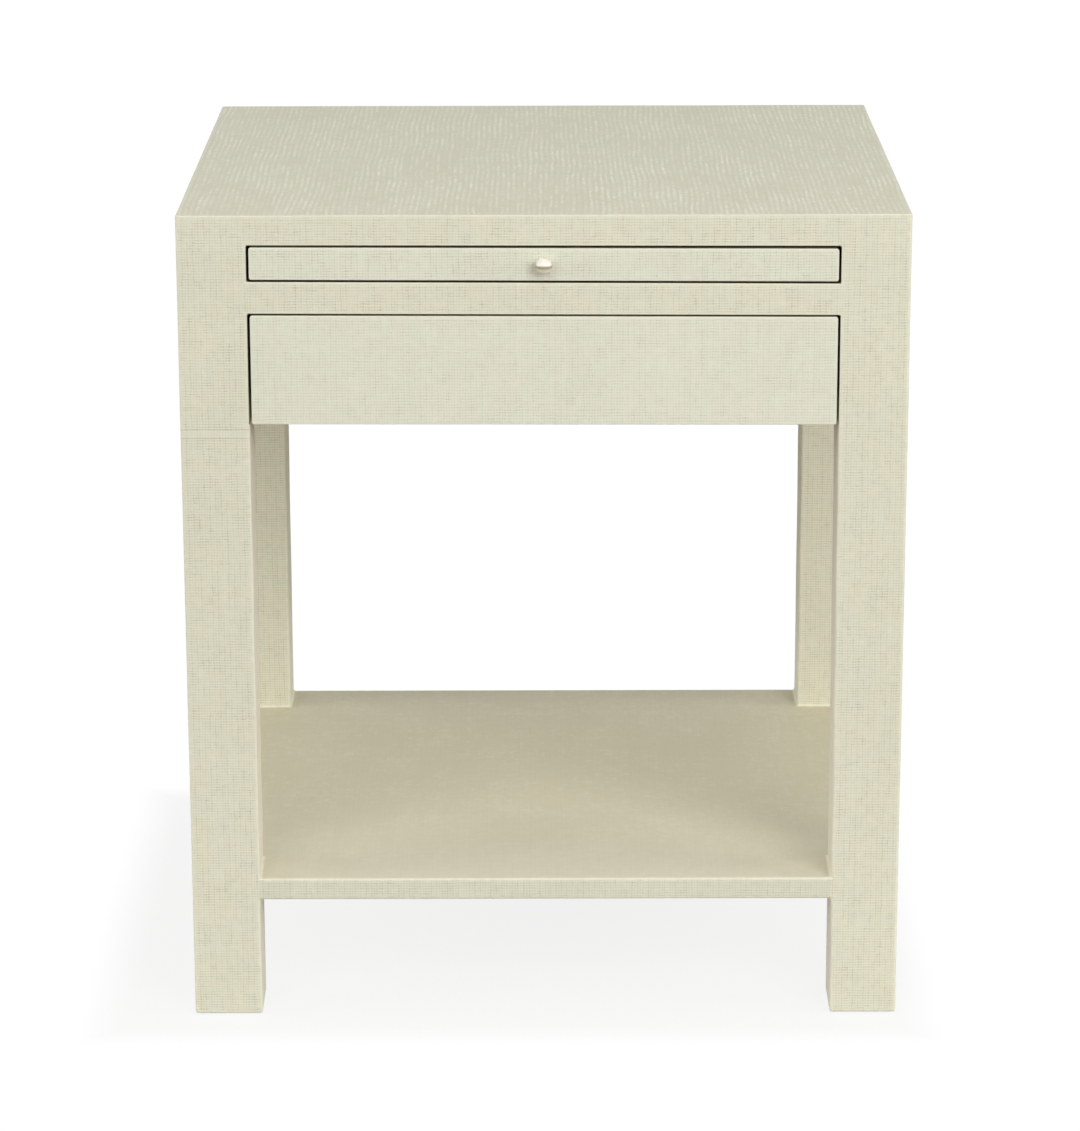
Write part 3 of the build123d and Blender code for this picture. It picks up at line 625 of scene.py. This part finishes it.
softenEdges(wrappedFrame, frameLook["cornerRound"], frameShare)
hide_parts(*frameNodes)
print("wrapped frame:", len(frameFaces), "faces")


frontLook = {"cornerRound": 2.0, "arrisShare": 0.42, "step": 9.0, "band": 4.5, "wrap": 1.6, "gripRadius": 8.0,
             "gripHalf": 90.0}


# A front board: its outline in (y, z) is carried along x. The outline's top and foot follow the tilt of the
# gaps, and the grip is a quarter circle cut into the lower back edge, which fades out in a quarter circle.
# The cloth is turned over the front edges only as far as wrap; behind it the top and foot take a darker
# tone, painted shade that darkens the gaps.
def frontBoard(name, node, body, finish, gripRadius, sag):
    low, high = boxOf[node]
    xs = linesBetween(np.array([low[0], high[0]]), frontLook["step"], frontLook["band"])
    ys = linesBetween(np.array([low[1], low[1] + frontLook["wrap"], high[1]]), 5.0, frontLook["band"])
    zs = linesBetween(np.array([low[2], high[2]]), frontLook["step"], frontLook["band"])
    turn = np.linspace(0, np.pi / 2, 7)
    front = np.stack([np.full(len(zs), ys[0]), zs], 1)[::-1]
    foot = np.stack([ys[1:-1], np.full(len(ys) - 2, zs[0])], 1)
    back = np.stack([np.full(len(zs) - 2, ys[-1]), zs[1:-1]], 1)
    top = np.stack([ys, np.full(len(ys), zs[-1])], 1)[::-1][:-1]
    reach = np.clip(np.abs(xs) - (frontLook["gripHalf"] - gripRadius), 0, gripRadius)
    radius = np.sqrt(np.maximum(gripRadius ** 2 - reach ** 2, 0)) if gripRadius else np.zeros(len(xs))
    sections = []
    for r in radius:
        corner = np.stack([ys[-1] - r * np.cos(turn), zs[0] + r * np.sin(turn)], 1)
        sides = [front, np.minimum(foot, [ys[-1] - r, far]), corner if gripRadius else corner[:1],
                 np.maximum(back, [-far, zs[0] + r]), top]
        sections.append(np.concatenate(sides))
    sections = np.array(sections)
    count = sections.shape[1]
    points = np.concatenate([np.broadcast_to(xs[:, None, None], (len(xs), count, 1)), sections], 2)
    flat = points.reshape(-1, 3)
    ring = np.arange(count)
    ends = [list(ring[::-1]), list(ring + (len(xs) - 1) * count)]
    faces = [list(f) for f in ringQuads(len(xs), count)] + ends
    onEdge = np.zeros(count)
    section = sections[0]
    corners = np.array([[ys[0], zs[0]], [ys[0], zs[-1]], [ys[-1], zs[-1]], [ys[-1], zs[0]]])
    onEdge[(np.abs(section[:, None] - corners[None]).sum(2) < 0.01).any(1)] = 1.0
    atEnd = (np.abs(xs) > high[0] - 0.01) * 1.0
    rim = np.maximum(onEdge[None, :], atEnd[:, None]).ravel()
    x, y, z = flat.T
    z = z + tiltOf(x, z + np.where(z > (zs[0] + zs[-1]) / 2, 1.4, -1.4) * (z > caseFoot + 2))
    z = z - (z > (zs[0] + zs[-1]) / 2) * sag * (1 + np.clip(x / openingHalf, -1, 1))
    y = y + (np.abs(y - ys[0]) < 0.01) * frameLook["uneven"] * 0.5 * (1 + ripple(x, z, 130, 5.0))
    middle = flat[np.array(faces[:-len(ends)])].mean(1)
    # faces behind the turned cloth on the top and foot take the darker edge tone: painted shade
    shadedEdge = (middle[:, 1] > ys[1]) & ((middle[:, 2] > zs[-1] - 0.01) | (middle[:, 2] < zs[0] + 0.01))
    piece = makePiece(name, np.stack([x, y, z], 1), faces, [finish, frontEdgeShade], body,
                      faceMaterial=np.append(shadedEdge, [0, 0]), rim=rim)
    weld = piece.modifiers.new("closeGrip", "WELD")
    weld.merge_threshold = 0.01 * mm
    softenEdges(piece, frontLook["cornerRound"],
                lambda middle, heading: np.where(heading[:, 1] > 0.9, 1.0, frontLook["arrisShare"]))
    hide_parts(node)


frontBoard("trayFront", "tray_front", "tray", trayCloth, 0.0, 0.3)
frontBoard("drawerFront", "drawer_front", "drawer", drawerCloth, frontLook["gripRadius"], 0.0)
print("fronts made")


knobLook = {"around": 64, "ballSteps": 28, "neckSteps": 9, "ballRadius": 6.5, "neckRadius": 3.3,
            "pinch": 0.25, "baseRadius": 4.7, "baseThickness": 0.9, "baseChamfer": (0.5, 0.3), "buried": 0.4}


# Turned knob: a half profile (radius, distance in front of the face) is turned about the line y
def turnedKnob():
    low, high = boxOf["tray_knob"]
    centreX, centreZ = (low[0] + high[0]) / 2, (low[2] + high[2]) / 2
    look = knobLook
    reach = frontY - low[1]
    ballAt = reach - look["ballRadius"]
    angles = np.linspace(0, math.pi - math.asin(look["neckRadius"] / look["ballRadius"]), look["ballSteps"])
    ball = np.stack([look["ballRadius"] * np.sin(angles), ballAt + look["ballRadius"] * np.cos(angles)], 1)
    t = np.linspace(0, 1, look["neckSteps"])[1:, None]
    inset, drop = look["baseChamfer"]
    neckEnd = np.array([look["baseRadius"] - inset, look["baseThickness"]])
    start = ball[-1]
    pinch = np.array([look["neckRadius"] - look["pinch"], (start[1] + neckEnd[1]) / 2])
    neck = (1 - t) ** 2 * start + 2 * t * (1 - t) * pinch + t ** 2 * neckEnd
    base = np.array([[look["baseRadius"], look["baseThickness"] - drop],
                     [look["baseRadius"], -look["buried"]], [0.0, -look["buried"]]])
    profile = np.concatenate([ball, neck, base])
    turn = np.linspace(0, 2 * np.pi, look["around"], endpoint=False)
    rows = profile[1:-1]
    x = centreX + rows[:, :1] * np.cos(turn)
    z = centreZ + rows[:, :1] * np.sin(turn)
    y = np.broadcast_to(frontY - rows[:, 1:], x.shape)
    body = np.stack([x, y, z], -1).reshape(-1, 3)
    tip = [[centreX, frontY - profile[0, 1], centreZ], [centreX, frontY - profile[-1, 1], centreZ]]
    points = np.concatenate([body, tip])
    ring = np.arange(look["around"])
    pairs = list(zip(ring, np.roll(ring, -1)))
    last = (len(rows) - 1) * len(ring)
    fans = [[len(body), a, b] for a, b in pairs] + [[len(body) + 1, last + b, last + a] for a, b in pairs]
    faces = [list(f) for f in ringQuads(len(rows), len(ring))[:, [0, 3, 2, 1]]] + fans
    piece = makePiece("turnedKnob", points, faces, [finishOfSlot["knob_paint"]], "tray")
    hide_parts("tray_knob")


turnedKnob()
print("knob made")


screwLook = {"slotHead": 2.3, "slotRise": 0.95, "slotPitch": 155.0, "boxHead": 4.0, "boxRise": 2.1,
             "boxPlaces": (-165, -60, 60, 165), "around": 24, "rings": 7, "domeFall": 0.55,
             "notchWidth": 0.13, "notchReach": 0.62, "notchDepth": 0.4}
screwSteel = steelFinish("screwSteel", (206, 204, 196), 0.3)


# Screw heads: each a low dome over a circle, with a cross sunk into it. A head is a grid of rings and angles.
# Its height falls off as a fourth power of the radius, less a notch where a point is near one of two cross
# lines.
def screwHeads(name, body, places, out, headRadius, rise):
    look = screwLook
    out = np.array(out, float)
    side = np.array([0.0, 0.0, 1.0])
    flank = np.cross(out, side)
    turn = np.linspace(0, 2 * np.pi, look["around"], endpoint=False)
    share = np.linspace(1, 0, look["rings"])[:-1, None]
    a, b = share * np.cos(turn), share * np.sin(turn)
    aside, reach = np.minimum(np.abs(a), np.abs(b)), np.maximum(np.abs(a), np.abs(b))
    notch = np.exp(-(aside / look["notchWidth"]) ** 4) * (reach < look["notchReach"])
    height = rise * (1 - look["domeFall"] * share ** 4) - notch * rise * look["notchDepth"]
    foot = np.stack([a[0] * headRadius, b[0] * headRadius, np.zeros(len(turn))], 1)
    dome = np.stack([a * headRadius, b * headRadius, height * np.ones_like(a)], -1).reshape(-1, 3)
    local = np.concatenate([foot, dome, [[0, 0, rise * 0.6], [0, 0, 0]]])
    ring = np.arange(len(turn))
    pairs = list(zip(ring, np.roll(ring, -1)))
    last = (look["rings"] - 1) * len(turn)
    tip = len(local) - 2
    fans = [[last + i, last + j, tip] for i, j in pairs] + [[j, i, tip + 1] for i, j in pairs]
    faces = [list(f) for f in ringQuads(look["rings"], len(turn))] + fans
    world = local[:, :1] * flank + local[:, 1:2] * side + local[:, 2:] * out
    if np.dot(np.cross(flank, side), out) < 0:
        faces = [f[::-1] for f in faces]
    points = np.concatenate([world + place for place in places])
    allFaces = [[v + i * len(local) for v in f] for i in range(len(places)) for f in faces]
    makePiece(name, points, allFaces, [screwSteel], body)


def makeScrews():
    for side, hand in ((-1, "left"), (1, "right")):
        outer, inner = boxOf[f"outer_slide_{hand}"], boxOf[f"inner_slide_{hand}"]
        ys = (outer[0, 1] + outer[1, 1]) / 2 + np.array([-1, 0, 1]) * screwLook["slotPitch"]
        z = (outer[0, 2] + outer[1, 2]) / 2
        wall, boxSide = np.abs(outer[:, 0]).max(), np.abs(inner[:, 0]).min()
        screwHeads(f"caseSlideScrews_{hand}", "case", [(side * wall, y, z) for y in ys], (-side, 0, 0),
                   screwLook["slotHead"], screwLook["slotRise"])
        screwHeads(f"drawerSlideScrews_{hand}", "drawer", [(side * boxSide, y, z) for y in ys], (side, 0, 0),
                   screwLook["slotHead"], screwLook["slotRise"])
    innerFace = boxOf["drawer_box_front"][1, 1]
    middleZ = boxOf["drawer_box_front"][:, 2].mean()
    places = [(x, innerFace, middleZ) for x in screwLook["boxPlaces"]]
    screwHeads("drawerFrontScrews", "drawer", places, (0, 1, 0), screwLook["boxHead"], screwLook["boxRise"])


makeScrews()
print("screws made")


crossGrain = {"drawer_box_front", "drawer_back", "tray_stop_blocks"}
smoothNodes = {"tray_board": innerLacquer}


# The CAD nodes that no piece replaces get the finish of their slot
def dressNodes():
    for name, node in nodes.items():
        if node.hide_render:
            continue
        slot = node.data.materials[0].name.split(".")[0]
        finish = smoothNodes.get(name) or finishOfSlot[slot]
        if name in crossGrain:
            finish = crossWood
        node.data.materials.clear()
        node.data.materials.append(finish)


dressNodes()
print("CAD nodes dressed")


roomLook = {
    "floorSize": 6.0, "floorShade": (204, 203, 199), "roomShade": (110, 107, 100), "floorGlow": 0.828,
    "glowStrength": 1.02, "paperFrom": 250.0, "paperTo": 700.0,
    "fadeFrom": 18.0, "fadeTo": 88.0, "shadowShift": 28.0, "worldStrength": 0.13,
    "lamps": [
        # name, place, aim, size, watts
        ("frontLeft", (-1.8, -3.2, 2.0), (0, 0, 0.4), 2.2, 35),
        ("frontRight", (1.8, -3.2, 2.0), (0, 0, 0.4), 2.2, 73),
        ("frontHigh", (0.0, -2.6, 3.2), (0, 0, 0.4), 2.2, 25),
        ("above", (0.0, -0.2, 3.0), (0, 0, 0.3), 2.4, 7.5),
        ("sideLeft", (-3.2, -0.6, 1.4), (0, 0, 0.3), 2.0, 42),
        ("sideRight", (3.2, -0.6, 1.4), (0, 0, 0.3), 2.0, 42),
        ("backLeft", (-2.4, 2.6, 1.3), (0, 0, 0.3), 2.0, 15),
        ("backRight", (2.4, 2.6, 1.3), (0, 0, 0.3), 2.0, 15),
    ],
}


# Soft studio: a pale floor that shows white to the camera but keeps the shadow, soft lamps, an even room
def makeRoom(look):
    half = look["floorSize"]
    mesh = bpy.data.meshes.new("floor")
    corners = [(-half, -half, 0), (half, -half, 0), (half, half, 0), (-half, half, 0)]
    mesh.from_pydata(corners, [], [(0, 1, 2, 3)])
    floor = bpy.data.objects.new("floor", mesh)
    bpy.context.scene.collection.objects.link(floor)
    paper = Finish("floorPaper")
    seen = paper.node("ShaderNodeLightPath", {}, {}, output="Is Camera Ray")
    glossy = paper.node("ShaderNodeLightPath", {}, {}, output="Is Glossy Ray")
    x, y = paper.parts(paper.place())[:2]
    low, high = topBox
    outX = (x + look["shadowShift"]).abs() - (high[0] - low[0]) / 2
    outY = (y - (low[1] + high[1]) / 2).abs() - (high[1] - low[1]) / 2
    away = outX.greatest(outY)
    fade = away.ramp(look["fadeFrom"], look["fadeTo"])
    share = look["floorGlow"] + (1 - look["floorGlow"]) * fade
    near = 1 - away.ramp(look["paperFrom"], look["paperTo"])
    paper.dress({"Base Color": paper.mix(near, colour(*look["roomShade"]), colour(*look["floorShade"])),
                 "Roughness": 0.9, "Specular IOR Level": 0.1})
    glow = paper.node("ShaderNodeEmission", {}, {"Color": (1, 1, 1, 1), "Strength": look["glowStrength"]})
    surface = Value(paper, paper.surface.outputs[0])
    mixed = paper.node("ShaderNodeMixShader", {},
                       {0: seen.greatest(glossy * near) * share, 1: surface, 2: glow})
    paper.set(paper.tree.nodes["Material Output"], {"Surface": mixed})
    mesh.materials.append(paper.material)
    world = bpy.data.worlds.new("room")
    bpy.context.scene.world = world
    air = Finish("room", world)
    seen, through, shiny = (air.node("ShaderNodeLightPath", {}, {}, output=ray)
                            for ray in ("Is Camera Ray", "Is Transmission Ray", "Is Glossy Ray"))
    strength = air.node("ShaderNodeMix", {"data_type": "FLOAT"},
                        {0: seen.greatest(through).greatest(shiny), 2: look["worldStrength"], 3: 1.0})
    air.dress({"Color": (1, 1, 1, 1), "Strength": strength})
    for name, place, aim, size, watts in look["lamps"]:
        light = bpy.data.lights.new(name, "AREA")
        light.shape = "DISK"
        light.size = size
        light.energy = watts
        lamp = bpy.data.objects.new(name, light)
        bpy.context.scene.collection.objects.link(lamp)
        lamp.location = place
        lamp.rotation_euler = (Vector(aim) - Vector(place)).to_track_quat("-Z", "Y").to_euler()


cameraLook = {"place": (-0.00125, -3.44175, 1.2831), "yaw": -0.0408, "pitch": 15.783, "roll": 0.141,
              "lens": 133.81, "sensor": 36.0, "reach": 60.0}


# The camera fitted to the photograph: its axes from yaw, pitch and roll, as the columns of its matrix
def makeCamera(look):
    yaw, pitch, roll = (math.radians(look[k]) for k in ("yaw", "pitch", "roll"))
    ahead = np.array([math.sin(yaw) * math.cos(pitch), math.cos(yaw) * math.cos(pitch), -math.sin(pitch)])
    right = np.array([math.cos(yaw), -math.sin(yaw), 0.0])
    down = np.cross(ahead, right)
    tiltedRight = math.cos(roll) * right + math.sin(roll) * down
    tiltedDown = -math.sin(roll) * right + math.cos(roll) * down
    data = bpy.data.cameras.new("camera")
    data.lens = look["lens"]
    data.sensor_width = look["sensor"]
    data.clip_end = look["reach"]
    camera = bpy.data.objects.new("camera", data)
    bpy.context.scene.collection.objects.link(camera)
    turn = np.stack([tiltedRight, -tiltedDown, -ahead], 1)
    camera.matrix_world = Matrix.Translation(look["place"]) @ Matrix(turn.tolist()).to_4x4()
    bpy.context.scene.camera = camera


makeRoom(roomLook)
makeCamera(cameraLook)
bpy.context.scene.view_settings.view_transform = "Standard"
print("room and camera ready")
